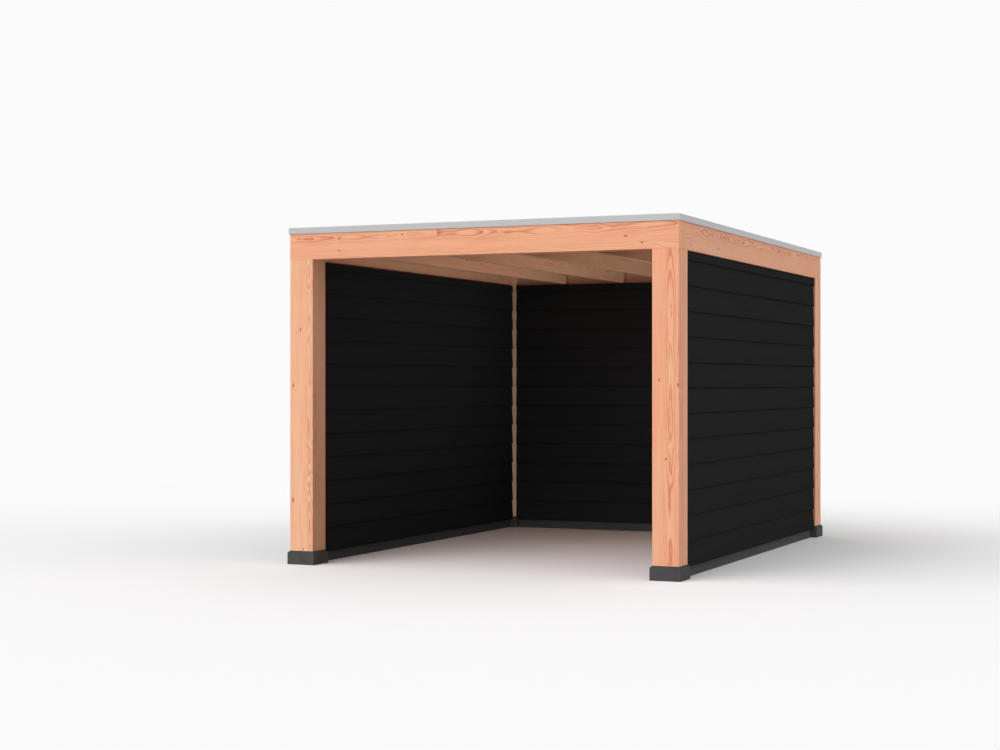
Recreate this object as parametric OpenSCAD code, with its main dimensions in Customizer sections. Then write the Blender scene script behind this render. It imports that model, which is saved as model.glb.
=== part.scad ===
// Flat-roofed timber patio cover, open at the front.
// Four posts on concrete feet carry a ring of beams, joists and a boarded roof.
// The back and both sides are closed by framed walls with lapped boards inside and out.
// Origin on the ground at the centre of the plan, front towards -Y, up +Z, millimetres.

/* [Overall] */
// Width over the outer faces of the posts
cover_w = 2990; // [2200:10:4200]
// Depth over the outer faces of the posts
cover_d = 4000; // [2600:10:5600]
// Height of the beams' undersides above the ground
soffit_h = 2235; // [1900:5:2700]

/* [Posts and feet] */
// Side of the square posts
post_w = 190; // [180:5:240]
// How far a concrete foot stands out from its post
foot_margin = 15; // [5:1:30]
// Height of the concrete feet
foot_h = 100; // [90:5:200]
// Height of the sloping shoulder at the top of a foot
foot_shoulder = 15; // [5:1:40]

/* [Beams and joists] */
// Thickness of the beams, less than a post so that a tongue stays behind them
beam_t = 130; // [100:5:150]
// Height of the beams
beam_h = 195; // [145:5:245]
// Thickness of the joists
joist_w = 45; // [38:1:80]

/* [Walls] */
// Height of the concrete strips under the walls
plinth_h = 76; // [50:2:120]
// Gap between a strip's end and the foot beside it
plinth_gap = 2; // [1:0.5:6]
// Thickness of a wall's frame and of the strip under it
frame_t = 91; // [68:1:100]
// Distance from the posts' outer faces to a side wall's frame
side_set_in = 38; // [30:1:48]
// Distance from the posts' inner faces to the back wall's frame
back_set_in = 24; // [20:1:48]
// Thickness of the studs and rails inside a wall
stud_w = 44; // [34:2:60]
// Largest distance between the centres of two studs
stud_pitch = 610; // [400:10:800]
// Gap round a foot where frame and boards are notched over it
notch_gap = 2; // [1:0.5:6]

/* [Lapped boards] */
// Height of each board that stays in view
board_show = 174.5; // [120:0.5:220]
// Thickness of a board at its lower lip
board_lip = 28; // [20:1:30]
// Thickness of a board where the next one laps over it
board_thin = 18; // [10:1:19]
// Gap between the top board and the beams
board_gap = 3; // [1:0.5:10]

/* [Roof] */
// Thickness of the roof boards
deck_t = 18; // [15:1:30]
// Thickness of the waterproof sheet
sheet_t = 2; // [1:0.5:5]
// Height of the edge trim above the sheet
trim_rise = 20; // [12:1:60]
// Height of the trim's outer face
trim_face = 46; // [30:1:90]
// How far the trim's face stands out from the beams
trim_out = 7; // [4:0.5:15]
// Thickness of the trim's metal
trim_t = 2; // [1:0.5:3]
// Width of the trim's raised bead
trim_bead = 26; // [18:1:50]
// Outer radius of the bead's top edges
trim_r = 5; // [3.5:0.5:8]
// Width of the flange that lies on the sheet
trim_flange = 45; // [20:1:80]
// Width of the drip turned in at the foot of the face
trim_drip = 3; // [1:0.5:4]

/* [Hidden] */
$fn = 48;
JOIST_COUNT = 4;
beam_top = soffit_h + beam_h;
sheet_top = beam_top + deck_t + sheet_t;
trim_top = sheet_top + trim_rise;
foot_w = post_w + 2 * foot_margin;
tongue_w = post_w - beam_t;
post_x = (cover_w - post_w) / 2;
post_y = (cover_d - post_w) / 2;
side_bay = cover_d - 2 * post_w;
back_bay = cover_w - 2 * post_w;
joist_pitch = 2 * post_x / (JOIST_COUNT + 1);
board_top = soffit_h - board_gap;
// Through-cuts run this far past the solid that they open
cut = 10;

timber = [0.86, 0.62, 0.47];
black_paint = [0.11, 0.11, 0.11];
concrete = [0.30, 0.30, 0.29];
aluminium = [0.78, 0.79, 0.79];
rubber = [0.16, 0.16, 0.17];

// A box of the given size, centred in plan, standing at height z
module standing(size, z = 0) {
    translate([-size[0] / 2, -size[1] / 2, z]) cube(size);
}

// Concrete foot: a block whose top slopes in to the post on all four sides
module foot_outline() {
    polygon([
        [-foot_w / 2, 0], [foot_w / 2, 0],
        [foot_w / 2, foot_h - foot_shoulder], [post_w / 2, foot_h],
        [-post_w / 2, foot_h], [-foot_w / 2, foot_h - foot_shoulder]
    ]);
}

module foot(side_x, side_y) {
    color(concrete) translate([side_x * post_x, side_y * post_y, 0]) intersection() {
        rotate([90, 0, 0]) linear_extrude(foot_w, center = true) foot_outline();
        rotate([90, 0, 90]) linear_extrude(foot_w, center = true) foot_outline();
    }
}

// Post: cut away at the top for the two beams that sit on its shoulders,
// so that a square tongue stays standing in the corner behind them
module post(side_x, side_y) {
    color(timber) difference() {
        translate([side_x * post_x, side_y * post_y, 0])
            standing([post_w, post_w, beam_top - foot_h], foot_h);
        cross_beam_seat(side_y);
        side_beam_seat(side_x);
    }
}

module cross_beam_seat(side_y) {
    translate([0, side_y * (cover_d / 2 - beam_t / 2 + cut / 2), 0])
        standing([cover_w + 2 * cut, beam_t + cut, beam_h + cut], soffit_h);
}

module side_beam_seat(side_x) {
    translate([side_x * (cover_w / 2 - beam_t / 2 + cut / 2), 0, 0])
        standing([beam_t + cut, cover_d + 2 * cut, beam_h + cut], soffit_h);
}

// Beams: the front and back ones run the full width, the side ones fit between them
module cross_beam(side_y) {
    color(timber) translate([0, side_y * (cover_d - beam_t) / 2, 0])
        standing([cover_w, beam_t, beam_h], soffit_h);
}

module side_beam(side_x) {
    color(timber) translate([side_x * (cover_w - beam_t) / 2, 0, 0])
        standing([beam_t, cover_d - 2 * beam_t, beam_h], soffit_h);
}

// Joists: from beam to beam, flush above and below, evenly spaced between the posts' centres
module joist(number) {
    color(timber) translate([number * joist_pitch - post_x, 0, 0])
        standing([joist_w, cover_d - 2 * beam_t, beam_h], soffit_h);
}

// Places a wall: X runs along it, Y = 0 is the nearer post face and +Y goes into the wall.
// The side walls sit towards the outside and the back wall towards the inside.
module on_left() { translate([-cover_w / 2, 0, 0]) rotate([0, 0, -90]) children(); }
module on_right() { translate([cover_w / 2, 0, 0]) rotate([0, 0, 90]) children(); }
module on_back() { translate([0, cover_d / 2 - post_w, 0]) children(); }

// Concrete strip between two feet
module plinth(bay, set_in) {
    color(concrete) translate([0, set_in + frame_t / 2, 0])
        standing([bay - 2 * (foot_margin + plinth_gap), frame_t, plinth_h]);
}

// Room for the two feet that reach into the lower corners of a wall
module foot_notches(bay) {
    reach = foot_margin + notch_gap;
    for (end = [-1, 1]) translate([end * (bay / 2 - reach / 2 + cut / 2), post_w / 2, 0])
        standing([reach + cut, post_w + 2 * cut, foot_h + notch_gap + cut], -cut);
}

// Frame inside a wall: two rails with evenly spaced studs between them
module wall_frame(bay, set_in) {
    studs = ceil((bay - stud_w) / stud_pitch);
    step = (bay - stud_w) / studs;
    height = soffit_h - plinth_h;
    color(timber) translate([0, set_in + frame_t / 2, 0]) difference() {
        union() {
            standing([bay, frame_t, stud_w], plinth_h);
            standing([bay, frame_t, stud_w], soffit_h - stud_w);
            for (i = [0:studs]) translate([i * step - (bay - stud_w) / 2, 0, 0])
                standing([stud_w, frame_t, height], plinth_h);
        }
        translate([0, -set_in - frame_t / 2, 0]) foot_notches(bay);
    }
}

// Lapped boards seen from the end: flat behind, each board leaning out to a thick lower lip.
// X is the distance from the frame and Y the height. The top board is cut to what is left.
module lapped_outline() {
    count = ceil((board_top - plinth_h) / board_show);
    lean = (board_lip - board_thin) / board_show;
    face = [for (i = [0:count - 1]) each
        let (low = plinth_h + i * board_show, high = min(low + board_show, board_top))
        [[board_lip, low], [board_lip - lean * (high - low), high]]];
    polygon(concat([[0, plinth_h]], face, [[0, board_top]]));
}

module lapped_boards(bay) {
    rotate([90, 0, 90]) linear_extrude(bay, center = true) lapped_outline();
}

// Boards on the side of a wall where its frame is nearer to the post face
module near_boards(bay, set_in) {
    color(black_paint) difference() {
        translate([0, set_in, 0]) mirror([0, 1, 0]) lapped_boards(bay);
        foot_notches(bay);
    }
}

// Boards on the other side of a wall
module far_boards(bay, set_in) {
    color(black_paint) difference() {
        translate([0, set_in + frame_t, 0]) lapped_boards(bay);
        foot_notches(bay);
    }
}

// Roof: boards on the beams and joists, and a waterproof sheet on the boards
module roof_deck() {
    color(timber) standing([cover_w, cover_d, deck_t], beam_top);
}

module roof_sheet() {
    color(rubber) standing([cover_w, cover_d, sheet_t], beam_top + deck_t);
}

// A standing rectangle with rounded upper corners
module round_topped(w, h, r) {
    square([w, h - r]);
    translate([r, 0]) square([w - 2 * r, h]);
    for (x = [r, w - r]) translate([x, h - r]) circle(r);
}

// Edge trim seen from the end: X inwards from its face, Y up from the face's lower edge.
// A hollow bead stands on the sheet, with a flange behind it and a face that drops over the beams.
module trim_outline() {
    seat = trim_face - trim_rise;
    difference() {
        round_topped(trim_bead, trim_face, trim_r);
        translate([trim_t, -trim_t])
            round_topped(trim_bead - 2 * trim_t, trim_face, trim_r - trim_t);
        translate([trim_t, -cut]) square([trim_bead, seat + cut]);
    }
    translate([trim_bead - trim_t, seat]) square([trim_t + trim_flange, trim_t]);
    square([trim_t + trim_drip, trim_t]);
}

// One side of the trim, mitred at both ends, for a side of the given length.
// The side's beam face lies at Y = -half.
module trim(length, half) {
    reach = trim_bead + trim_flange;
    outer = length / 2 + trim_out;
    color(aluminium) translate([0, -half - trim_out, 0]) intersection() {
        translate([0, 0, trim_top - trim_face]) rotate([90, 0, 90])
            linear_extrude(2 * outer, center = true) trim_outline();
        linear_extrude(trim_top + cut) polygon([
            [-outer, 0], [outer, 0], [outer - reach, reach], [reach - outer, reach]
        ]);
    }
}

foot(-1, -1);  // foot_front_left
foot(1, -1);  // foot_front_right
foot(-1, 1);  // foot_back_left
foot(1, 1);  // foot_back_right
post(-1, -1);  // post_front_left
post(1, -1);  // post_front_right
post(-1, 1);  // post_back_left
post(1, 1);  // post_back_right
cross_beam(-1);  // beam_front
cross_beam(1);  // beam_back
side_beam(-1);  // beam_left
side_beam(1);  // beam_right
joist(1);  // joist_1
joist(2);  // joist_2
joist(3);  // joist_3
joist(4);  // joist_4
on_left() plinth(side_bay, side_set_in);  // plinth_left
on_right() plinth(side_bay, side_set_in);  // plinth_right
on_back() plinth(back_bay, back_set_in);  // plinth_back
on_left() wall_frame(side_bay, side_set_in);  // wall_frame_left
on_right() wall_frame(side_bay, side_set_in);  // wall_frame_right
on_back() wall_frame(back_bay, back_set_in);  // wall_frame_back
on_left() near_boards(side_bay, side_set_in);  // boards_left_outside
on_left() far_boards(side_bay, side_set_in);  // boards_left_inside
on_right() near_boards(side_bay, side_set_in);  // boards_right_outside
on_right() far_boards(side_bay, side_set_in);  // boards_right_inside
on_back() far_boards(back_bay, back_set_in);  // boards_back_outside
on_back() near_boards(back_bay, back_set_in);  // boards_back_inside
roof_deck();
roof_sheet();
trim(cover_w, cover_d / 2);  // trim_front
rotate([0, 0, 180]) trim(cover_w, cover_d / 2);  // trim_back
rotate([0, 0, -90]) trim(cover_d, cover_w / 2);  // trim_left
rotate([0, 0, 90]) trim(cover_d, cover_w / 2);  // trim_right
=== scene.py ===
"""Looks of the wooden patio cover: timber, black boards, concrete, trim, light and camera."""
import math
import random

import bmesh
import bpy
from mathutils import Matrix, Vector


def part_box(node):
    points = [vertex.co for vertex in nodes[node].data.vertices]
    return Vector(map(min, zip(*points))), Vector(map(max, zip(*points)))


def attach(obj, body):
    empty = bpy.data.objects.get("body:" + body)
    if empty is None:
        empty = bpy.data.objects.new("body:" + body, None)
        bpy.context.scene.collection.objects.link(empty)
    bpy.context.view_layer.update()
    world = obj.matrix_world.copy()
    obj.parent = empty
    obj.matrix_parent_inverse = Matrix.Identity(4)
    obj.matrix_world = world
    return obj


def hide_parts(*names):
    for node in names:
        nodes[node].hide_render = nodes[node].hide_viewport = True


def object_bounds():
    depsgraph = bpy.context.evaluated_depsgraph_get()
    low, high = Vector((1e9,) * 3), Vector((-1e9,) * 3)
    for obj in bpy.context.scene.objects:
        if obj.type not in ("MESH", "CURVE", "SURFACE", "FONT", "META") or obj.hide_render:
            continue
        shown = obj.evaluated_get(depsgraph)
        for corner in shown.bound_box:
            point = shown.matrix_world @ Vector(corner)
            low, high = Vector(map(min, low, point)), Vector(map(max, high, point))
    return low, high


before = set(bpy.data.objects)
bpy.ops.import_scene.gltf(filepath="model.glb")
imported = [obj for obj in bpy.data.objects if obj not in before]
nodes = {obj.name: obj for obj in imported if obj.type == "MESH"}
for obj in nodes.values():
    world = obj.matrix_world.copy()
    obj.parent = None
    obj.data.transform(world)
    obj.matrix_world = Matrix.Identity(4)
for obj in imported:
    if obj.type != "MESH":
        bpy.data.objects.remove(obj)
cad_low, cad_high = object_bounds()

# Camera, found from the straight edges of the photograph
CAMERA_PLACE = (5.2496, -13.636, 1.3303)
CAMERA_TURN = 0.4103
CAMERA_LENS = 65.42
CAMERA_SHIFT = 0.0081
CAMERA_REACH = 1000
SENSOR_WIDTH = 36.0

# Dome that is brightest half way up, with its levels from the horizon to straight above
DOME_STRENGTH = 1.24
DOME_LEVELS = [(0.0, 0.06), (0.3, 0.34), (0.5, 0.69), (0.68, 1.0), (0.8, 0.62), (1.0, 0.1)]

# Broad soft lamps: azimuth, elevation and spread in degrees, and strength
LAMPS = {"key": (-43, 45, 60, 1.02), "front": (-12, 13, 60, 1.70), "right": (100, 10, 40, 0.76)}

# Weak strips of fill along the right wall: height, upward tilt in degrees, and power
FILLS = {"low_fill": (0.95, 28, 11.0), "high_fill": (1.8, 60, 1.6)}
FILL_SPREAD = math.radians(115)
FILL_WIDTH = 0.2
FILL_FRONT_GAP = 0.5

# Weak warm glow that comes back from the ceiling, and the gap between a lamp and what carries it
GLOW_POWER = 3.2
GLOW_COLOUR = (1.0, 0.52, 0.32)
GLOW_MARGIN = 0.2
LAMP_GAP = 0.01

# Floor and backdrop; behind the cover the floor fades into the backdrop between two distances
BACKGROUND = (0.973, 0.965, 0.973, 1)
FLOOR_COLOUR = (0.874, 0.867, 0.874, 1)
FLOOR_BOUNCE = (0.3, 0.3, 0.3, 1)
FLOOR_FILL = 0.1
FLOOR_REACH = 150.0
FLOOR_FADE = (0.2, 5.5)
WHITE = (1, 1, 1, 1)

# Lapped boards and the gap round a foot, in metres, as in the part's source
BOARD_SHOW = 0.1745
BOARD_LIP = 0.028
BOARD_THIN = 0.018
NOTCH_GAP = 0.002

# Single boards, in metres: whole height, rounding of the lip, play in the rebate behind it, least
# height of a cut top board, and how much lower the boards end inside the side walls
BOARD_HEIGHT = 0.195
LIP_ROUND = 0.0025
LIP_STEPS = 4
REBATE_SPARE = 0.0003
LEAST_BOARD = 0.001
TOP_GAP = 0.004

# Wall faces: the axis that the boards run along, and the way that they look across it
WALLS = {
    "left_outside": (1, -1), "left_inside": (1, 1), "right_outside": (1, 1),
    "right_inside": (1, -1), "back_outside": (0, 1), "back_inside": (0, -1),
}

# Roof boards, in metres: about their width, the bevel of the V joints and the gap in a joint
DECK_BOARD = 0.125
DECK_CHAMFER = 0.004
DECK_JOINT = 0.0006

# Softened edges: width in metres, steps across it, and the turn from which an edge is sharp
POST_EDGE = 0.004
BEAM_EDGE = 0.0025
CONCRETE_EDGE = 0.003
EDGE_STEPS = 3
SHARP_TURN = math.radians(40)

# Turn up to which single boards are shaded smoothly, and how near two points count as one
SMOOTH_TURN = math.radians(35)
SAME_PLACE = 0.0001
SAME_POINT = 1e-6

# Black stain: tones of the figure and of whole boards; then painted shade: a darker, cooler tint on
# the inside faces, and how dark the lower edges of the lips are painted as the shadow under each lap,
# in a band that ends between two heights
STAIN_TONES = [(0.3, (0.0219, 0.0219, 0.0219, 1)), (0.7, (0.0242, 0.0242, 0.0241, 1))]
STAIN_BOARDS = [(0.0, 0.97), (1.0, 1.03)]
INSIDE_SHADE_TINT = (0.83, 0.90, 0.93, 1)
INSIDE_EDGE_SHADE = 0.65
OUTSIDE_EDGE_SHADE = 0.85
EDGE_SHADE_BAND = (0.004, 0.009)
STAIN_ROUGHNESS = (0.6, 0.8)

# Noise in the black stain: fineness along and across a board, detail, roughness; range of seeds
STAIN_FIBRE = (6.0, 260.0, 4.0, 0.6)
STAIN_FIGURE = (1.6, 38.0, 3.0, 0.5)
STAIN_SEEDS = 40.0

# Plain softwood: fineness along and across the grain, scale, detail and roughness of the noise,
# how much coarser the figure is, range of seeds, and tones
PLAIN_ALONG = 7.0
PLAIN_ACROSS = 240.0
PLAIN_NOISE = (1.0, 4.0, 0.6)
PLAIN_COARSE = 0.18
PLAIN_SEEDS = 30.0
PLAIN_FIGURE = [(0.35, 0.0), (0.65, 1.0)]
PLAIN_FIBRE = [(0.3, 0.86), (0.7, 1.04)]
PLAIN_BOARDS = [(0.0, 0.92), (1.0, 1.04)]
PLAIN_ROUGHNESS = 0.7
PLAIN_SPECULAR = 0.2

# Concrete, metal and rubber: fineness, detail and roughness of their noise, then tones and finish
CONCRETE_CLOUD = (9.0, 4.0, 0.55)
CONCRETE_GRIT = (420.0, 2.0, 0.5)
CONCRETE_TONES = [(0.3, (0.061, 0.0615, 0.061, 1)), (0.7, (0.078, 0.0775, 0.0765, 1))]
CONCRETE_SPECKS = [(0.3, 0.88), (0.7, 1.1)]
# Painted shade: slopes and tops of the concrete are darker, which evens out the stronger light from
# above
CONCRETE_TOP_SHADE = [(0.1, 1.0), (0.6, 0.75)]
CONCRETE_ROUGHNESS = (0.75, 0.95)
CONCRETE_SPECULAR = 0.15
METAL_CLOUD = (3.0, 2.0, 0.5)
METAL_TONES = [(0.3, (0.467, 0.469, 0.467, 1)), (0.7, (0.485, 0.487, 0.485, 1))]
METAL_ROUGHNESS = [(0.2, 0.38), (0.8, 0.44)]
METAL_SHARE = 0.3
RUBBER_DUST = (2.2, 5.0, 0.6)
RUBBER_GRAIN = (700.0, 1.0, 0.5)
RUBBER_TONES = [(0.35, (0.018, 0.018, 0.019, 1)), (0.75, (0.042, 0.041, 0.040, 1))]
RUBBER_ROUGHNESS = [(0.2, 0.62), (0.8, 0.85)]

# Bump on each material: depth in metres, and strength
TIMBER_BUMP = (0.0006, 0.4)
STAIN_BUMP = (0.0005, 0.4)
PLAIN_BUMP = (0.0005, 0.4)
CONCRETE_BUMP = (0.0008, 0.5)
RUBBER_BUMP = (0.0004, 0.4)

# Timber colours and finish
EARLY_WOOD = (0.81, 0.388, 0.222, 1)
PALE_WOOD = (0.835, 0.425, 0.255, 1)
FLAME_WOOD = (0.87, 0.455, 0.275, 1)
BLUSH_WOOD = (0.81, 0.315, 0.175, 1)
LATE_WOOD = (0.57, 0.160, 0.080, 1)
KNOT_HEART = (0.27, 0.085, 0.026, 1)
TIMBER_ROUGHNESS = (0.5, 0.7)
TIMBER_SPECULAR = 0.25

# Timber figure, in metres: width of a year's ring, how uneven it is and how far the pith bends,
# with the scale, detail and roughness of those bends
RING_WIDTH = 0.0058
RING_RIPPLE = 0.009
BEND_SIZE = 0.055
BEND_NOISE = (1.0, 2.0, 0.4)

# Laminations of a beam: how far the joint lies below its middle, how far away the lower one comes
# from in the log, and the share of its flames that it lacks
LAMINATION = 0.028
LOWER_SHIFT = 7.3
LOWER_LOSS = 0.4

# Noise in the timber: fineness along and across the grain, shift of the seed, detail, roughness
BROAD_NOISE = (0.9, 9.0, 7.7, 2.0, 0.5)
RIPPLE_NOISE = (5.0, 24.0, 3.1, 3.0, 0.55)
STREAK_NOISE = (3.0, 80.0, 5.3, 2.0, 0.5)
FIBRE_NOISE = (7.0, 330.0, 1.9, 3.0, 0.6)
BLUSH_NOISE = (2.2, 22.0, 9.4, 2.0, 0.5)

# Tones in the timber over the noise that they follow
BROAD_TONES = [(0.3, 0.0), (0.7, 1.0)]
BLUSH_TONES = [(0.46, 0.0), (0.72, 0.6)]
STREAK_TONES = [(0.3, 0.965), (0.7, 1.02)]
FIBRE_TONES = [(0.25, 0.93), (0.75, 1.05)]

# Flames: where a face begins to run along the rings, how far that wanders, and their pale ground
FLAME_EDGES = [(0.62, 0.1), (0.95, 1.0)]
FLAME_WANDER = 0.8
FLAME_GROUND = 0.5

# Late wood: darkness across one ring, strength from year to year and along the log, and depth
LATE_PROFILE = [(0.0, 0.2), (0.15, 0.0), (0.45, 0.15), (0.85, 1.0), (0.92, 0.9), (1.0, 0.2)]
YEAR_EDGES = [(0.34, 0.1), (0.54, 1.0)]
YEAR_PACE = 0.55
YEAR_DRIFT = 0.9
LATE_DEPTH = 0.88
LATE_RELIEF = 0.4
FIBRE_RELIEF = 0.6

# Knots: size in metres, darkness from the middle out, how far they push the rings aside and how
# fast that fades; then number, seed, places, sizes and stretches of the scattered ones, with
# places as shares of half a timber's sides and sizes as shares of the usual one
KNOT_SIZE = 0.0068
KNOT_CORE = [(0.0, 1.0), (0.5, 0.9), (1.0, 0.0)]
KNOT_PUSH = 0.8
KNOT_FADE = 0.15
HIDDEN_KNOTS = 6
HIDDEN_SEED = 7
HIDDEN_RUN = 0.95
HIDDEN_ACROSS = 0.8
HIDDEN_SIZES = (0.7, 1.3)
HIDDEN_STRETCHES = (1.5, 2.5)

# Painted light and shade on timbers goes by where a face looks: sheltered faces look to the middle
# of the cover from at least this far; undersides look down
SHELTER_DEPTH = 0.3
UNDER_TURN = 0.5

# Which axes run along and across the grain
GRAIN_ORDER = {"X": (0, 1, 2), "Y": (1, 0, 2), "Z": (2, 0, 1)}

# Grain axis, pith beside the centre line, lean of the pith and bends per metre for each timber
TIMBER = {
    "post_front_left": ("Z", (0.066, -0.052), (0.004, 0.006), 2.2),
    "post_front_right": ("Z", (0.032, -0.025), (0.004, 0.010), 1.05),
    "post_back_left": ("Z", (-0.03, -0.05), (0.006, 0.01), 1.3),
    "post_back_right": ("Z", (0.05, 0.03), (0.01, 0.006), 1.3),
    "beam_front": ("X", (-0.005, 0.058), (0.014, 0.003), 2.0),
    "beam_back": ("X", (-0.05, 0.02), (0.01, 0.005), 1.6),
    "beam_left": ("Y", (0.04, 0.03), (0.01, 0.004), 1.6),
    "beam_right": ("Y", (0.012, 0.050), (0.014, 0.003), 2.8),
    "joist_1": ("Y", (-0.09, 0.02), (0.01, 0.006), 1.1),
    "joist_2": ("Y", (-0.07, -0.03), (0.012, 0.004), 1.1),
    "joist_3": ("Y", (-0.1, 0.04), (0.008, 0.006), 1.1),
    "joist_4": ("Y", (-0.08, 0.0), (0.01, 0.008), 1.1),
}

# Seeds of the timbers, of which four are chosen so that flames and eyes lie about where they should
FIRST_SEED = 11.3
SEED_STEP = 5.7
SEEDS = {
    "post_front_left": 510.32, "post_front_right": 1264.55,
    "beam_front": 1364.82, "beam_right": 1465.09,
}

# Strength of the figure on timbers where it is weaker than on the rest
FIGURES = {
    "post_front_left": 0.78, "post_front_right": 0.88,
    "joist_1": 0.5, "joist_2": 0.5, "joist_3": 0.5, "joist_4": 0.5,
}

# Knots that the photograph shows: which way they run through the timber (0 or 1, across the grain),
# place along and across the grain, share of the usual size, and stretch along the grain
SEEN_KNOTS = {
    "post_front_left": [
        (0, 0.458, -0.006, 1.1, 2.4), (0, 0.048, -0.067, 1.1, 2.6), (0, -0.793, -0.070, 1.3, 2.6),
        (0, -1.152, 0.016, 0.9, 1.5), (0, -0.402, 0.060, 0.7, 1.5),
    ],
    "post_front_right": [
        (0, 0.087, -0.044, 1.0, 1.7), (0, 0.054, 0.088, 1.1, 2.0), (0, -0.446, 0.004, 1.1, 1.7),
        (1, -1.05, 0.05, 0.8, 1.7),
    ],
    "beam_front": [
        (1, -1.084, 0.045, 1.1, 1.4), (1, -1.084, -0.040, 0.8, 2.2), (1, -0.574, 0.061, 1.0, 1.6),
        (1, -0.286, 0.065, 1.0, 1.7), (1, 1.116, -0.004, 1.2, 2.0), (1, 1.234, -0.052, 0.8, 2.6),
    ],
    "beam_right": [
        (1, -1.096, -0.042, 1.0, 2.5), (1, -1.734, -0.056, 0.8, 2.5), (1, 0.395, 0.064, 1.2, 3.0),
    ],
}

# Painted light and shade on timbers that differ from the rest: tints that make their open faces,
# sheltered faces and undersides lighter, darker or cooler by how light falls on them
NO_TINT = WHITE
JOIST_SIDE_SHADE_TINT = (0.84, 1.03, 1.09, 1)
JOIST_LIGHT_TINT = (0.95, 1.12, 1.17, 1)
JOIST_SHADE_TINT = (0.74, 0.92, 0.98, 1)
JOIST_UNDER_SHADE_TINT = (0.70, 0.86, 0.91, 1)
PAINTED_LIGHT_TINTS = {
    "post_front_left": ((1.015, 1.12, 1.16, 1), (0.87, 0.95, 0.92, 1), NO_TINT),
    "post_back_left": (NO_TINT, (1.12, 1.50, 1.75, 1), NO_TINT),
    "post_back_right": ((1.02, 1.07, 1.0, 1), NO_TINT, NO_TINT),
    "beam_left": (NO_TINT, (0.92, 1.04, 1.08, 1), (1.15, 1.45, 1.65, 1)),
    "beam_back": (NO_TINT, (0.90, 1.25, 1.55, 1), NO_TINT),
    "joist_1": (JOIST_LIGHT_TINT, JOIST_LIGHT_TINT, JOIST_UNDER_SHADE_TINT),
    "joist_2": (JOIST_SIDE_SHADE_TINT, JOIST_SIDE_SHADE_TINT, JOIST_UNDER_SHADE_TINT),
    "joist_3": (JOIST_SHADE_TINT, JOIST_SHADE_TINT, JOIST_UNDER_SHADE_TINT),
    "joist_4": ((0.83, 1.04, 1.11, 1), JOIST_SIDE_SHADE_TINT, JOIST_SIDE_SHADE_TINT),
}


# Node helpers

def wire(tree, value, socket):
    """Links a socket to a socket, or sets a plain value."""
    if isinstance(value, bpy.types.NodeSocket):
        tree.links.new(value, socket)
    else:
        socket.default_value = value


def calc(tree, operation, *values):
    """One math node."""
    made = tree.nodes.new("ShaderNodeMath")
    made.operation = operation
    for value, socket in zip(values, made.inputs):
        wire(tree, value, socket)
    return made.outputs[0]


def between(tree, share, low, high):
    """A number that goes from low to high as a share goes from 0 to 1."""
    return calc(tree, "MULTIPLY_ADD", share, high - low, low)


def sum_of_products(tree, first, second, third, fourth):
    """First times second, plus third times fourth."""
    return calc(tree, "MULTIPLY_ADD", first, second, calc(tree, "MULTIPLY", third, fourth))


def cross_length(tree, first, second):
    """Length of a vector with two numbers."""
    return calc(tree, "SQRT", sum_of_products(tree, first, first, second, second))


def combine(tree, x, y, z):
    """A vector from three numbers."""
    made = tree.nodes.new("ShaderNodeCombineXYZ")
    for value, socket in zip((x, y, z), made.inputs):
        wire(tree, value, socket)
    return made.outputs[0]


def split(tree, vector):
    """The three numbers of a vector."""
    made = tree.nodes.new("ShaderNodeSeparateXYZ")
    wire(tree, vector, made.inputs[0])
    return made.outputs


def noise(tree, vector, scale=1.0, detail=2.0, roughness=0.5, output="Fac"):
    """Smooth noise between 0 and 1."""
    made = tree.nodes.new("ShaderNodeTexNoise")
    wire(tree, vector, made.inputs["Vector"])
    made.inputs["Scale"].default_value = scale
    made.inputs["Detail"].default_value = detail
    made.inputs["Roughness"].default_value = roughness
    return made.outputs[output]


def ramp(tree, value, stops):
    """A colour ramp with grey or coloured stops."""
    made = tree.nodes.new("ShaderNodeValToRGB")
    wire(tree, value, made.inputs[0])
    elements = made.color_ramp.elements
    while len(elements) < len(stops):
        elements.new(0.5)
    for element, (place, level) in zip(elements, stops):
        element.position = place
        element.color = level if isinstance(level, tuple) else (level, level, level, 1)
    return made.outputs[0]


def mix(tree, factor, first, second, blend="MIX"):
    """Mixes two colours."""
    made = tree.nodes.new("ShaderNodeMix")
    made.data_type = "RGBA"
    made.blend_type = blend
    wire(tree, factor, made.inputs[0])
    wire(tree, first, made.inputs[6])
    wire(tree, second, made.inputs[7])
    return made.outputs[2]


def times(tree, first, second):
    """One colour multiplied by another."""
    return mix(tree, 1.0, first, second, "MULTIPLY")


def mix_shaders(tree, factor, first, second):
    """Mixes two shaders."""
    made = tree.nodes.new("ShaderNodeMixShader")
    for output, socket in zip((factor, first, second), made.inputs):
        tree.links.new(output, socket)
    return made.outputs[0]


def bump(tree, height, distance, strength):
    """A normal bent by a height."""
    made = tree.nodes.new("ShaderNodeBump")
    made.inputs["Strength"].default_value = strength
    made.inputs["Distance"].default_value = distance
    wire(tree, height, made.inputs["Height"])
    return made.outputs[0]


def coordinates(tree, kind):
    """Object, normal or generated coordinates."""
    return tree.nodes.new("ShaderNodeTexCoord").outputs[kind]


def island_number(tree):
    """A number between 0 and 1 that differs from board to board of one mesh."""
    return tree.nodes.new("ShaderNodeNewGeometry").outputs["Random Per Island"]


def surface(name):
    """A new material with its tree and its main shader."""
    material = bpy.data.materials.new(name)
    material.use_nodes = True
    tree = material.node_tree
    return material, tree, tree.nodes["Principled BSDF"]


# Timber

def grain_noise(tree, parts, seed, kind):
    """Noise that is stretched along the grain."""
    along, across, shift, detail, roughness = kind
    moved = []
    for number, (part, fineness) in enumerate(zip(parts, (along, across, across)), 1):
        moved.append(calc(tree, "MULTIPLY_ADD", part, fineness, (seed + shift) * number))
    return noise(tree, combine(tree, *moved), 1.0, detail, roughness)


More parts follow.
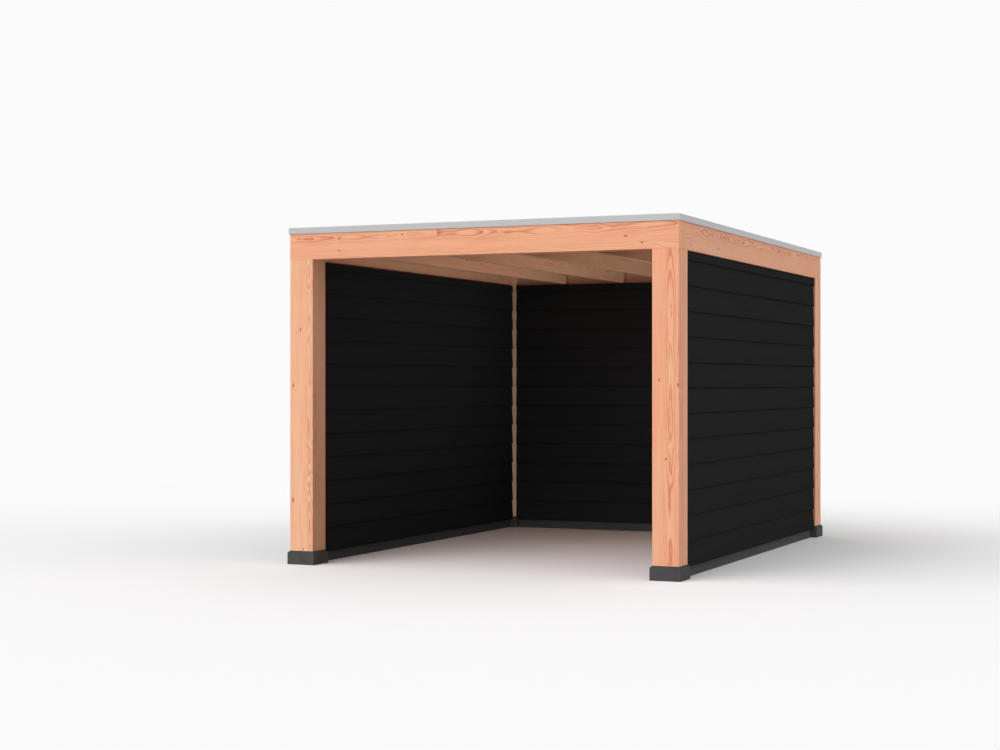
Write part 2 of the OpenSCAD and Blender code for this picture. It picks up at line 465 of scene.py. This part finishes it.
def knot_marks(tree, along, across, place, size, stretch):
    """Bulge and dark core of one knot that runs straight through, stretched along the grain."""
    run = calc(tree, "DIVIDE", calc(tree, "SUBTRACT", along, place[0]), stretch)
    rise = calc(tree, "SUBTRACT", across, place[1])
    reach = calc(tree, "DIVIDE", cross_length(tree, run, rise), size)
    fade = calc(tree, "MULTIPLY", calc(tree, "MULTIPLY", reach, reach), -KNOT_FADE)
    return calc(tree, "EXPONENT", fade), ramp(tree, reach, KNOT_CORE)


def knotted(tree, field, along, sides, knots):
    """The rings' field pushed aside round each knot, and the knots' dark cores."""
    dark = 0.0
    for face, run, across, size, stretch in knots:
        bulge, core = knot_marks(tree, along, sides[face], (run, across), size, stretch)
        field = calc(tree, "MULTIPLY_ADD", bulge, size * KNOT_PUSH, field)
        dark = calc(tree, "MAXIMUM", core, dark)
    return field, dark


def turned_over(tree, along, rise, joint):
    """Length and height in the log, and whether this is below a joint, where it is turned over."""
    if joint is None:
        return along, rise, 0.0
    lower = calc(tree, "LESS_THAN", rise, -joint)
    folded = calc(tree, "ABSOLUTE", calc(tree, "ADD", rise, joint))
    length = calc(tree, "MULTIPLY_ADD", lower, LOWER_SHIFT, along)
    return length, calc(tree, "SUBTRACT", folded, joint), lower


def pith_offsets(tree, along, sides, pith, drift, pace, seed):
    """Offsets across the grain from a pith that leans along the piece and bends a little."""
    walk = combine(tree, calc(tree, "MULTIPLY_ADD", along, pace, seed), seed, 0.0)
    bends = split(tree, noise(tree, walk, *BEND_NOISE, "Color"))
    offsets = []
    for side, start, lean, bend in zip(sides, pith, drift, bends):
        offset = calc(tree, "SUBTRACT", side, start)
        offset = calc(tree, "MULTIPLY_ADD", along, -lean, offset)
        bent = between(tree, bend, -BEND_SIZE / 2, BEND_SIZE / 2)
        offsets.append(calc(tree, "ADD", offset, bent))
    return offsets


def flame_share(tree, offsets, radius, normals, broad):
    """1 where a face runs along the rings, which shows flames, and little where it cuts them."""
    towards = sum_of_products(tree, offsets[0], normals[0], offsets[1], normals[1])
    facing = calc(tree, "ABSOLUTE", calc(tree, "DIVIDE", towards, radius))
    wander = between(tree, broad, -FLAME_WANDER / 2, FLAME_WANDER / 2)
    return ramp(tree, calc(tree, "ADD", facing, wander), FLAME_EDGES)


def late_wood(tree, field, length, seed):
    """The dark part of each yearly ring, which is strong in some years and weak in others."""
    rings = calc(tree, "DIVIDE", field, RING_WIDTH)
    year = calc(tree, "MULTIPLY_ADD", rings, YEAR_PACE, seed)
    place = combine(tree, year, calc(tree, "MULTIPLY", length, YEAR_DRIFT), 0.0)
    strength = ramp(tree, noise(tree, place), YEAR_EDGES)
    late = ramp(tree, calc(tree, "FRACT", rings), LATE_PROFILE)
    return calc(tree, "MULTIPLY", late, strength)


def painted_light_tint(tree, place, normal, painted_tints):
    """Painted light and shade: the tint of an open face, of one that looks to the middle of the cover,
    or of an underside.
    """
    inward = sum_of_products(tree, place[0], normal[0], place[1], normal[1])
    sheltered = calc(tree, "LESS_THAN", inward, -SHELTER_DEPTH)
    under = calc(tree, "LESS_THAN", normal[2], -UNDER_TURN)
    return mix(tree, under, mix(tree, sheltered, painted_tints[0], painted_tints[1]), painted_tints[2])


def timber(name, axis, centre, pith, drift, pace, seed, knots, painted_tints, figure, joint):
    """Planed softwood as a solid block cut from a log, with its grain along one axis.

    The yearly rings lie round the pith, so that they come out as plain fine grain where they
    are cut straight through and as flames and eyes where a face runs along them. A joint makes
    two laminations, of which the lower one is turned over and cut from another length.
    """
    material, tree, shader = surface(name)
    order = GRAIN_ORDER[axis]
    place = split(tree, coordinates(tree, "Object"))
    normal = split(tree, coordinates(tree, "Normal"))
    parts = [calc(tree, "SUBTRACT", place[i], centre[i]) for i in order]
    along, side, rise = parts
    broad = grain_noise(tree, parts, seed, BROAD_NOISE)
    fibre = grain_noise(tree, parts, seed, FIBRE_NOISE)

    # Rings round the pith
    length, height, lower = turned_over(tree, along, rise, joint)
    offsets = pith_offsets(tree, length, (side, height), pith, drift, pace, seed)
    radius = cross_length(tree, *offsets)
    flames = flame_share(tree, offsets, radius, (normal[order[1]], normal[order[2]]), broad)
    flames = calc(tree, "MULTIPLY", flames, between(tree, lower, figure, figure * (1 - LOWER_LOSS)))
    ripple = grain_noise(tree, parts, seed, RIPPLE_NOISE)
    field = calc(tree, "MULTIPLY_ADD", ripple, RING_RIPPLE, radius)
    field, dark = knotted(tree, field, along, (side, rise), knots)
    line = calc(tree, "MULTIPLY", late_wood(tree, field, length, seed), flames)

    # Colour
    blush = grain_noise(tree, parts, seed, BLUSH_NOISE)
    streak = grain_noise(tree, parts, seed, STREAK_NOISE)
    colour = mix(tree, ramp(tree, broad, BROAD_TONES), EARLY_WOOD, PALE_WOOD)
    colour = mix(tree, calc(tree, "MULTIPLY", flames, FLAME_GROUND), colour, FLAME_WOOD)
    colour = mix(tree, ramp(tree, blush, BLUSH_TONES), colour, BLUSH_WOOD)
    colour = mix(tree, calc(tree, "MULTIPLY", line, LATE_DEPTH), colour, LATE_WOOD)
    colour = times(tree, colour, ramp(tree, streak, STREAK_TONES))
    colour = times(tree, colour, ramp(tree, fibre, FIBRE_TONES))
    # Painted light and shade: each face is tinted by the way it looks, in place of the light it gets
    colour = times(tree, colour, painted_light_tint(tree, place, normal, painted_tints))
    wire(tree, mix(tree, dark, colour, KNOT_HEART), shader.inputs["Base Color"])

    # Sheen and relief
    wire(tree, between(tree, fibre, *TIMBER_ROUGHNESS), shader.inputs["Roughness"])
    shader.inputs["Specular IOR Level"].default_value = TIMBER_SPECULAR
    relief = sum_of_products(tree, fibre, FIBRE_RELIEF, line, LATE_RELIEF)
    wire(tree, bump(tree, relief, *TIMBER_BUMP), shader.inputs["Normal"])
    return material


# Other materials

def board_noise(tree, run, rise, seed, kind):
    """Noise that is stretched along a board."""
    along, across, detail, roughness = kind
    stretched = [calc(tree, "MULTIPLY", run, along), calc(tree, "MULTIPLY", rise, across)]
    return noise(tree, combine(tree, *stretched, seed), 1.0, detail, roughness)


def stain_with_painted_shade(name, tint, edge):
    """Matt black stain on sawn boards, with the grain along each board, and painted shade: a tint and
    darker lower edges of the lips, as the shadow under each lap.
    """
    material, tree, shader = surface(name)
    run, rise, _ = split(tree, tree.nodes.new("ShaderNodeUVMap").outputs[0])
    island = island_number(tree)
    seed = calc(tree, "MULTIPLY", island, STAIN_SEEDS)
    fibre = board_noise(tree, run, rise, seed, STAIN_FIBRE)
    figure = board_noise(tree, run, rise, seed, STAIN_FIGURE)
    tone = times(tree, ramp(tree, figure, STAIN_TONES), ramp(tree, island, STAIN_BOARDS))
    # Painted shade: the tint darkens the inside faces, and the band darkens the lower edges of the
    # lips as the shadow under the laps
    tone = times(tree, tone, tint)
    edge_shade_stops = [(0.0, edge), (EDGE_SHADE_BAND[0], edge), (EDGE_SHADE_BAND[1], 1.0)]
    tone = times(tree, tone, ramp(tree, rise, edge_shade_stops))
    wire(tree, tone, shader.inputs["Base Color"])
    wire(tree, between(tree, fibre, *STAIN_ROUGHNESS), shader.inputs["Roughness"])
    shader.inputs["Specular IOR Level"].default_value = 0.0
    wire(tree, bump(tree, fibre, *STAIN_BUMP), shader.inputs["Normal"])
    return material


def plain_boards(name, stretch):
    """Plain softwood for pieces that hardly show, with the fineness of its grain on each axis."""
    material, tree, shader = surface(name)
    place = split(tree, coordinates(tree, "Object"))
    island = island_number(tree)
    shift = calc(tree, "MULTIPLY", island, PLAIN_SEEDS)
    moved = [calc(tree, "MULTIPLY_ADD", place[i], stretch[i], shift) for i in range(3)]
    coarse = [calc(tree, "MULTIPLY", value, PLAIN_COARSE) for value in moved]
    fibre = noise(tree, combine(tree, *moved), *PLAIN_NOISE)
    figure = noise(tree, combine(tree, *coarse))
    tone = mix(tree, ramp(tree, figure, PLAIN_FIGURE), PALE_WOOD, EARLY_WOOD)
    tone = times(tree, tone, ramp(tree, fibre, PLAIN_FIBRE))
    tone = times(tree, tone, ramp(tree, island, PLAIN_BOARDS))
    wire(tree, tone, shader.inputs["Base Color"])
    shader.inputs["Roughness"].default_value = PLAIN_ROUGHNESS
    shader.inputs["Specular IOR Level"].default_value = PLAIN_SPECULAR
    wire(tree, bump(tree, fibre, *PLAIN_BUMP), shader.inputs["Normal"])
    return material


def concrete():
    """Dark grey cast concrete with faint clouding and fine pits, and painted shade that makes slopes
    and tops darker against the light from above.
    """
    material, tree, shader = surface("concrete")
    place = coordinates(tree, "Object")
    upward = split(tree, coordinates(tree, "Normal"))[2]
    cloud = noise(tree, place, *CONCRETE_CLOUD)
    grit = noise(tree, place, *CONCRETE_GRIT)
    tone = times(tree, ramp(tree, cloud, CONCRETE_TONES), ramp(tree, grit, CONCRETE_SPECKS))
    # Painted shade on slopes and tops
    tone = times(tree, tone, ramp(tree, upward, CONCRETE_TOP_SHADE))
    wire(tree, tone, shader.inputs["Base Color"])
    wire(tree, between(tree, cloud, *CONCRETE_ROUGHNESS), shader.inputs["Roughness"])
    shader.inputs["Specular IOR Level"].default_value = CONCRETE_SPECULAR
    wire(tree, bump(tree, grit, *CONCRETE_BUMP), shader.inputs["Normal"])
    return material


def aluminium():
    """Mill-finish aluminium, dulled by weather, with faint clouding."""
    material, tree, shader = surface("aluminium")
    cloud = noise(tree, coordinates(tree, "Object"), *METAL_CLOUD)
    wire(tree, ramp(tree, cloud, METAL_TONES), shader.inputs["Base Color"])
    shader.inputs["Metallic"].default_value = METAL_SHARE
    wire(tree, ramp(tree, cloud, METAL_ROUGHNESS), shader.inputs["Roughness"])
    return material


def rubber_sheet():
    """Matt black roofing rubber with a little dust."""
    material, tree, shader = surface("rubber_sheet")
    place = coordinates(tree, "Object")
    dust = noise(tree, place, *RUBBER_DUST)
    grain = noise(tree, place, *RUBBER_GRAIN)
    wire(tree, ramp(tree, dust, RUBBER_TONES), shader.inputs["Base Color"])
    wire(tree, ramp(tree, dust, RUBBER_ROUGHNESS), shader.inputs["Roughness"])
    wire(tree, bump(tree, grain, *RUBBER_BUMP), shader.inputs["Normal"])
    return material


# Meshes

def add_object(name, data):
    """A new object in the scene."""
    made = bpy.data.objects.new(name, data)
    bpy.context.scene.collection.objects.link(made)
    return made


def new_piece(name, built, material, node):
    """Makes a piece from a bmesh, rides it on the one body and hides the node that it stands in for.
    """
    mesh = bpy.data.meshes.new(name)
    bmesh.ops.recalc_face_normals(built, faces=built.faces)
    built.to_mesh(mesh)
    built.free()
    mesh.materials.append(material)
    mesh.shade_smooth()
    mesh.set_sharp_from_angle(angle=SMOOTH_TURN)
    piece = add_object(name, mesh)
    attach(piece, "root")
    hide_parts(node)


def closed_bar(built, rows):
    """Faces of a closed bar through rows of points: both ends, then the sides."""
    faces = [built.faces.new(rows[0]), built.faces.new(rows[-1])]
    for first, second in zip(rows, rows[1:]):
        for i in range(len(first)):
            j = (i + 1) % len(first)
            faces.append(built.faces.new((first[i], first[j], second[j], second[i])))
    return faces


def board_outline(height):
    """A lapped board seen from the end: (distance from the frame, height above its lip)."""
    lean = (BOARD_LIP - BOARD_THIN) / BOARD_SHOW
    lap = BOARD_HEIGHT - BOARD_SHOW + REBATE_SPARE
    rebate = BOARD_THIN + REBATE_SPARE
    points = [(rebate, 0.0)]
    for step in range(LIP_STEPS + 1):
        turn = math.radians(90 * step / LIP_STEPS)
        out = BOARD_LIP - LIP_ROUND + LIP_ROUND * math.sin(turn)
        points.append((out, LIP_ROUND * (1 - math.cos(turn))))
    points.append((BOARD_LIP - lean * height, height))
    points += [(0.0, height), (0.0, lap), (rebate, lap)]
    return points


def foot_notch():
    """Height and length of the notch over a foot at either end of a wall."""
    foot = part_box("foot_front_left")[1]
    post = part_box("post_front_left")[1]
    return foot.z + NOTCH_GAP, foot.x - post.x + NOTCH_GAP


def board_stations(level, start, end, outline, notch):
    """Outlines along one board, which are cut off over the feet where it lies that low."""
    foot_top, foot_reach = notch
    if level >= foot_top:
        return [(start, outline), (end, outline)]
    clipped = [(out, max(up, foot_top - level)) for out, up in outline]
    near, far = start + foot_reach, end - foot_reach
    return [
        (start, clipped), (near, clipped), (near, outline),
        (far, outline), (far, clipped), (end, clipped),
    ]


def lapped_wall(name, node, material, run_axis, out_sign, top_gap):
    """All the boards of one wall face, one closed mesh each, in the place of the plain node."""
    low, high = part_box(node)
    out_axis = 1 - run_axis
    back = low[out_axis] if out_sign > 0 else high[out_axis]
    top = high.z - top_gap
    notch = foot_notch()
    built = bmesh.new()
    uv = built.loops.layers.uv.new("UVMap")
    level = low.z
    while level < top - LEAST_BOARD:
        outline = board_outline(min(BOARD_HEIGHT, top - level))
        rows = []
        for run, points in board_stations(level, low[run_axis], high[run_axis], outline, notch):
            row = []
            for out, up in points:
                place = [0.0, 0.0, level + up]
                place[run_axis] = run
                place[out_axis] = back + out_sign * out
                row.append(built.verts.new(place))
            rows.append(row)
        for face in closed_bar(built, rows):
            for loop in face.loops:
                spot = loop.vert.co
                inset = BOARD_LIP - out_sign * (spot[out_axis] - back)
                loop[uv].uv = (spot[run_axis], spot.z - level - inset)
        level += BOARD_SHOW
    bmesh.ops.remove_doubles(built, verts=built.verts, dist=SAME_POINT)
    bmesh.ops.dissolve_degenerate(built, edges=built.edges, dist=SAME_POINT)
    new_piece(name, built, material, node)


def roof_boards(name, node, material):
    """Tongued boards across the joists, with V joints underneath, in the place of the plain deck."""
    low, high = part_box(node)
    count = round((high.y - low.y) / DECK_BOARD)
    width = (high.y - low.y) / count
    built = bmesh.new()
    for number in range(count):
        left = low.y + number * width + DECK_JOINT / 2
        right = low.y + (number + 1) * width - DECK_JOINT / 2
        outline = [
            (left, high.z), (left, low.z + DECK_CHAMFER), (left + DECK_CHAMFER, low.z),
            (right - DECK_CHAMFER, low.z), (right, low.z + DECK_CHAMFER), (right, high.z),
        ]
        rows = [[built.verts.new((x, y, z)) for y, z in outline] for x in (low.x, high.x)]
        closed_bar(built, rows)
    new_piece(name, built, material, node)


def upright_edges():
    """A node group that marks the sharp upright edges of a mesh, so that only they are rounded."""
    tree = bpy.data.node_groups.new("upright_edges", "GeometryNodeTree")
    for direction in ("INPUT", "OUTPUT"):
        tree.interface.new_socket("Geometry", in_out=direction, socket_type="NodeSocketGeometry")
    edge = tree.nodes.new("GeometryNodeInputMeshEdgeVertices").outputs
    first = split(tree, edge["Position 1"])
    second = split(tree, edge["Position 2"])
    aside = [calc(tree, "ABSOLUTE", calc(tree, "SUBTRACT", first[i], second[i])) for i in (0, 1)]
    upright = calc(tree, "LESS_THAN", calc(tree, "ADD", *aside), SAME_PLACE)
    turn = tree.nodes.new("GeometryNodeInputMeshEdgeAngle").outputs["Unsigned Angle"]
    sharp = calc(tree, "GREATER_THAN", turn, SHARP_TURN)
    mark = tree.nodes.new("GeometryNodeStoreNamedAttribute")
    mark.data_type = "FLOAT"
    mark.domain = "EDGE"
    mark.inputs["Name"].default_value = "bevel_weight_edge"
    tree.links.new(tree.nodes.new("NodeGroupInput").outputs[0], mark.inputs["Geometry"])
    tree.links.new(calc(tree, "MULTIPLY", upright, sharp), mark.inputs["Value"])
    tree.links.new(mark.outputs[0], tree.nodes.new("NodeGroupOutput").inputs[0])
    return tree


def soften(node, width, marks=None):
    """Rounds a node's sharp edges a little, or only those that a node group marks."""
    weld = node.modifiers.new("weld", "WELD")
    weld.merge_threshold = SAME_PLACE
    if marks:
        node.modifiers.new("marks", "NODES").node_group = marks
    bevel = node.modifiers.new("edges", "BEVEL")
    bevel.width = width
    bevel.segments = EDGE_STEPS
    bevel.limit_method = "WEIGHT" if marks else "ANGLE"
    bevel.angle_limit = SHARP_TURN
    normals = node.modifiers.new("normals", "WEIGHTED_NORMAL")
    normals.keep_sharp = True


def finish_node(node, material):
    """Gives a node's object one material."""
    node.data.materials.clear()
    node.data.materials.append(material)


# Sub-parts

def knots_of(name, axis, scatter):
    """The knots seen in the photograph, or a few scattered ones on timbers that hide theirs."""
    found = []
    for face, run, across, share, stretch in SEEN_KNOTS.get(name, []):
        found.append((face, run, across, share * KNOT_SIZE, stretch))
    if found:
        return found
    low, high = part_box(name)
    reach = [(high[i] - low[i]) / 2 for i in GRAIN_ORDER[axis]]
    for _ in range(HIDDEN_KNOTS):
        face = scatter.randrange(2)
        run = scatter.uniform(-HIDDEN_RUN, HIDDEN_RUN) * reach[0]
        across = scatter.uniform(-HIDDEN_ACROSS, HIDDEN_ACROSS) * reach[1 + face]
        size = scatter.uniform(*HIDDEN_SIZES) * KNOT_SIZE
        found.append((face, run, across, size, scatter.uniform(*HIDDEN_STRETCHES)))
    return found


def finish_timbers():
    """Posts, beams and joists, each with its own piece of log and with softened edges."""
    scatter = random.Random(HIDDEN_SEED)
    upright = upright_edges()
    for number, (name, (axis, pith, drift, pace)) in enumerate(TIMBER.items()):
        low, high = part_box(name)
        seed = SEEDS.get(name, FIRST_SEED + SEED_STEP * number)
        knots = knots_of(name, axis, scatter)
        painted_tints = PAINTED_LIGHT_TINTS.get(name, (NO_TINT, NO_TINT, NO_TINT))
        figure = FIGURES.get(name, 1.0)
        joint = LAMINATION if name.startswith("beam_") else None
        material = timber(
            "timber_" + name, axis, (low + high) / 2, pith, drift, pace, seed,
            knots, painted_tints, figure, joint,
        )
        finish_node(nodes[name], material)
        if name.startswith("post_"):
            soften(nodes[name], POST_EDGE, upright)
        else:
            soften(nodes[name], BEAM_EDGE)


def finish_other_nodes():
    """Concrete, trim, the frames inside the walls and the roof sheet."""
    concrete_finish = concrete()
    trim_finish = aluminium()
    frame_finish = plain_boards("frame_timber", (PLAIN_ACROSS, PLAIN_ACROSS, PLAIN_ALONG))
    for name, node in nodes.items():
        if name.startswith(("foot_", "plinth_")):
            finish_node(node, concrete_finish)
            soften(node, CONCRETE_EDGE)
        elif name.startswith("trim_"):
            finish_node(node, trim_finish)
        elif name.startswith("wall_frame_"):
            finish_node(node, frame_finish)
    finish_node(nodes["roof_sheet"], rubber_sheet())


def make_roof():
    """The boards of the roof deck."""
    deck_finish = plain_boards("roof_boards", (PLAIN_ALONG, PLAIN_ACROSS, PLAIN_ACROSS))
    finish_node(nodes["roof_deck"], deck_finish)
    roof_boards("roof_boards", "roof_deck", deck_finish)


def make_walls():
    """The boards of all wall faces; inside the side walls they end a little lower."""
    # Painted shade: the inside faces get a darker, cooler copy of the stain, and both copies paint the
    # shadow under the laps
    outside_stain_and_shade = stain_with_painted_shade("outside_stain_and_shade", NO_TINT, OUTSIDE_EDGE_SHADE)
    inside_stain_and_shade = stain_with_painted_shade("inside_stain_and_shade", INSIDE_SHADE_TINT, INSIDE_EDGE_SHADE)
    for side, (run_axis, out_sign) in WALLS.items():
        stain = inside_stain_and_shade if side.endswith("inside") else outside_stain_and_shade
        gap = TOP_GAP if side in ("left_inside", "right_inside") else 0.0
        lapped_wall("lapped_" + side, "boards_" + side, stain, run_axis, out_sign, gap)


# Stage, light and camera

def seen_directly(tree):
    """1 for what the camera sees, also in a mirror or through glass, and 0 for light on its way."""
    path = tree.nodes.new("ShaderNodeLightPath").outputs
    seen = calc(tree, "MAXIMUM", path["Is Camera Ray"], path["Is Glossy Ray"])
    return calc(tree, "MAXIMUM", seen, path["Is Transmission Ray"])


def make_floor():
    """A wide pale floor that fades into the backdrop and gives back a plain grey light."""
    built = bmesh.new()
    bmesh.ops.create_grid(built, x_segments=1, y_segments=1, size=FLOOR_REACH)
    mesh = bpy.data.meshes.new("floor")
    built.to_mesh(mesh)
    built.free()
    floor = add_object("floor", mesh)
    material, tree, seen = surface("floor")
    seen.inputs["Base Color"].default_value = FLOOR_COLOUR
    bounce = tree.nodes.new("ShaderNodeBsdfPrincipled")
    bounce.inputs["Base Color"].default_value = FLOOR_BOUNCE
    bounce.inputs["Emission Color"].default_value = WHITE
    bounce.inputs["Emission Strength"].default_value = FLOOR_FILL
    for shader in (seen, bounce):
        shader.inputs["Roughness"].default_value = 1.0
        shader.inputs["Specular IOR Level"].default_value = 0.0
    behind = split(tree, coordinates(tree, "Object"))[1]
    start, end = [cad_high.y + distance for distance in FLOOR_FADE]
    fade = calc(tree, "DIVIDE", calc(tree, "SUBTRACT", behind, start), end - start)
    fade = ramp(tree, fade, [(0.0, 0.0), (1.0, 1.0)])
    backdrop = tree.nodes.new("ShaderNodeEmission")
    backdrop.inputs["Color"].default_value = BACKGROUND
    faded = mix_shaders(tree, fade, seen.outputs[0], backdrop.outputs[0])
    either = mix_shaders(tree, seen_directly(tree), bounce.outputs[0], faded)
    tree.links.new(either, tree.nodes["Material Output"].inputs["Surface"])
    material.cycles.emission_sampling = "NONE"
    mesh.materials.append(material)


def make_world():
    """A soft dome that lights the cover, and a plain backdrop that the camera sees instead."""
    world = bpy.data.worlds.new("world")
    bpy.context.scene.world = world
    world.use_nodes = True
    tree = world.node_tree
    tree.nodes.clear()
    height = split(tree, coordinates(tree, "Generated"))[2]
    dome = tree.nodes.new("ShaderNodeBackground")
    tree.links.new(ramp(tree, height, DOME_LEVELS), dome.inputs["Color"])
    dome.inputs["Strength"].default_value = DOME_STRENGTH
    backdrop = tree.nodes.new("ShaderNodeBackground")
    backdrop.inputs["Color"].default_value = BACKGROUND
    either = mix_shaders(tree, seen_directly(tree), dome.outputs[0], backdrop.outputs[0])
    tree.links.new(either, tree.nodes.new("ShaderNodeOutputWorld").inputs[0])


def make_lamp(name, azimuth, elevation, spread, strength):
    """A broad soft lamp far away; its azimuth counts from the front, towards the right."""
    light = bpy.data.lights.new(name, "SUN")
    light.energy = strength
    light.angle = math.radians(spread)
    lamp = add_object(name, light)
    azimuth = math.radians(azimuth)
    elevation = math.radians(elevation)
    towards = Vector((
        math.sin(azimuth) * math.cos(elevation),
        -math.cos(azimuth) * math.cos(elevation),
        math.sin(elevation),
    ))
    lamp.rotation_euler = towards.to_track_quat("Z", "Y").to_euler()
    lamp.visible_glossy = False


def area_lamp(name, length, width, power):
    """A flat lamp that the camera doesn't see."""
    light = bpy.data.lights.new(name, "AREA")
    light.shape = "RECTANGLE"
    light.size = length
    light.size_y = width
    light.energy = power
    lamp = add_object(name, light)
    lamp.visible_camera = False
    return lamp


def make_fill(name, height, tilt, power):
    """A weak strip lamp along the inside of the right wall that lights the joists and the walls."""
    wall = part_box("boards_right_inside")[0].x
    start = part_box("beam_front")[1].y + FILL_FRONT_GAP
    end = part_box("boards_back_inside")[0].y
    lamp = area_lamp(name, end - start, FILL_WIDTH, power)
    lamp.data.spread = FILL_SPREAD
    tilt = math.radians(tilt)
    aside = wall - FILL_WIDTH / 2 * math.sin(tilt) - LAMP_GAP
    lamp.location = (aside, (end + start) / 2, height)
    towards = Vector((-math.cos(tilt), 0, math.sin(tilt)))
    lamp.rotation_euler = towards.to_track_quat("-Z", "Y").to_euler()


def make_glow():
    """A very weak warm lamp under the joists, as large as the ceiling."""
    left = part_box("boards_left_inside")[1].x
    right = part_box("boards_right_inside")[0].x
    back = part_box("boards_back_inside")[0].y
    beam_low, beam_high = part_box("beam_front")
    width = right - left - 2 * GLOW_MARGIN
    depth = back - beam_high.y - 2 * GLOW_MARGIN
    lamp = area_lamp("glow", width, depth, GLOW_POWER)
    lamp.data.color = GLOW_COLOUR
    lamp.location = (0, (back + beam_high.y) / 2, beam_low.z - LAMP_GAP)


def make_camera():
    """The camera at the photograph's place, level, with a small shift upwards."""
    data = bpy.data.cameras.new("camera")
    data.lens = CAMERA_LENS
    data.sensor_width = SENSOR_WIDTH
    data.shift_y = CAMERA_SHIFT
    data.clip_end = CAMERA_REACH
    camera = add_object("camera", data)
    camera.location = CAMERA_PLACE
    camera.rotation_euler = (math.radians(90), 0, CAMERA_TURN)
    bpy.context.scene.camera = camera


finish_timbers()
finish_other_nodes()
make_roof()
make_walls()
make_floor()
make_world()
for name, settings in LAMPS.items():
    make_lamp(name, *settings)
for name, settings in FILLS.items():
    make_fill(name, *settings)
make_glow()
make_camera()
bpy.context.scene.view_settings.view_transform = "Standard"
